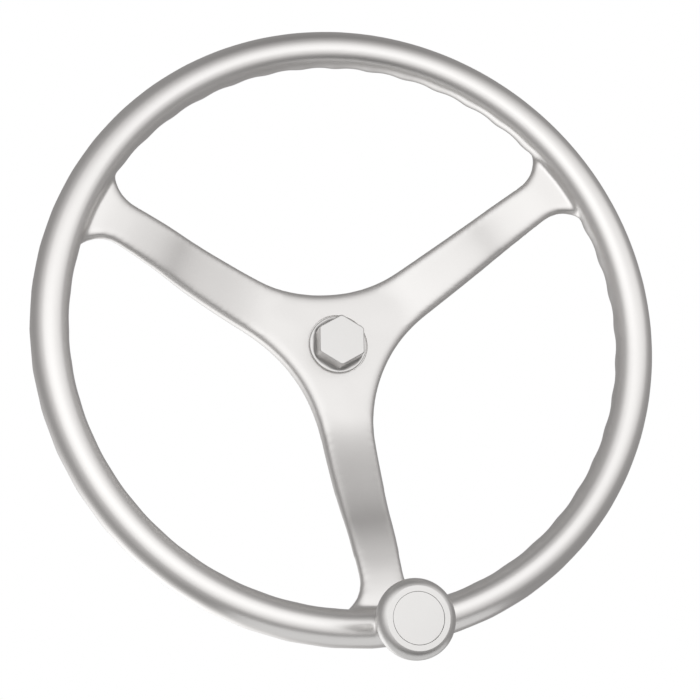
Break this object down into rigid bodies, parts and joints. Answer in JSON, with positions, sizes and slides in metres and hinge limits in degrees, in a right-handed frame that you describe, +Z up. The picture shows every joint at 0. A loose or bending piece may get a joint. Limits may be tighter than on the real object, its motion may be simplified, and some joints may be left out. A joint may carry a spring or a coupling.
{
  "type": "boat steering wheel",
  "caption": "Dished cast stainless boat steering wheel with finger grips behind its rim, a tapered hub with a cap nut and a spinning knob.",
  "frame": {"origin": "centre of the hub's rear face on the wheel's axis, where the tapered shaft goes in", "axes": "+Y along the wheel's axis towards the dashboard, -Y towards the helmsman, +Z up, the knob's spoke straight down, +X to the right seen from the front"},
  "size_m": [0.343, 0.1325, 0.353],
  "materials": {
    "cast_stainless": "bead-blasted satin",
    "turned_stainless": "fine satin, turned",
    "fastener_steel": "plain machined",
    "bearing_steel": "ground and polished",
    "nylon": "moulded",
    "black_rubber": "matt"
  },
  "bodies": {
    "wheel": {"wheel_casting": "cast_stainless", "centre_nut": "turned_stainless", "knob_stud": "fastener_steel", "stud_lock_washer": "fastener_steel", "bearing_spacer": "fastener_steel", "retaining_washer": "fastener_steel", "retaining_nut": "fastener_steel", "nut_lock_insert": "nylon", "lower_bearing_inner_race": "bearing_steel", "upper_bearing_inner_race": "bearing_steel"},
    "knob": {"knob_body": "turned_stainless", "lower_bearing_outer_race": "bearing_steel", "lower_bearing_shields": "bearing_steel", "upper_bearing_outer_race": "bearing_steel", "upper_bearing_shields": "bearing_steel", "bearing_snap_ring": "fastener_steel", "cap_disc": "turned_stainless", "cap_sealing_ring": "black_rubber", "foot_seal": "black_rubber"},
    "lower_cage": {"lower_bearing_cage": "nylon", "lower_bearing_balls": "bearing_steel"},
    "upper_cage": {"upper_bearing_cage": "nylon", "upper_bearing_balls": "bearing_steel"}
  },
  "joints": [
    {"name": "knob_spin", "type": "hinge", "parent": "wheel", "child": "knob", "pos_m": [0, -0.1, -0.1615], "axis": [0, 1, 0], "continuous": true},
    {"name": "lower_cage_spin", "type": "hinge", "parent": "wheel", "child": "lower_cage", "pos_m": [0, -0.1, -0.1615], "axis": [0, 1, 0], "continuous": true},
    {"name": "upper_cage_spin", "type": "hinge", "parent": "wheel", "child": "upper_cage", "pos_m": [0, -0.1, -0.1615], "axis": [0, 1, 0], "continuous": true}
  ],
  "couplings": [
    {"joint": "lower_cage_spin", "follows": "knob_spin", "ratio": 0.5833},
    {"joint": "upper_cage_spin", "follows": "knob_spin", "ratio": 0.6322}
  ]
}
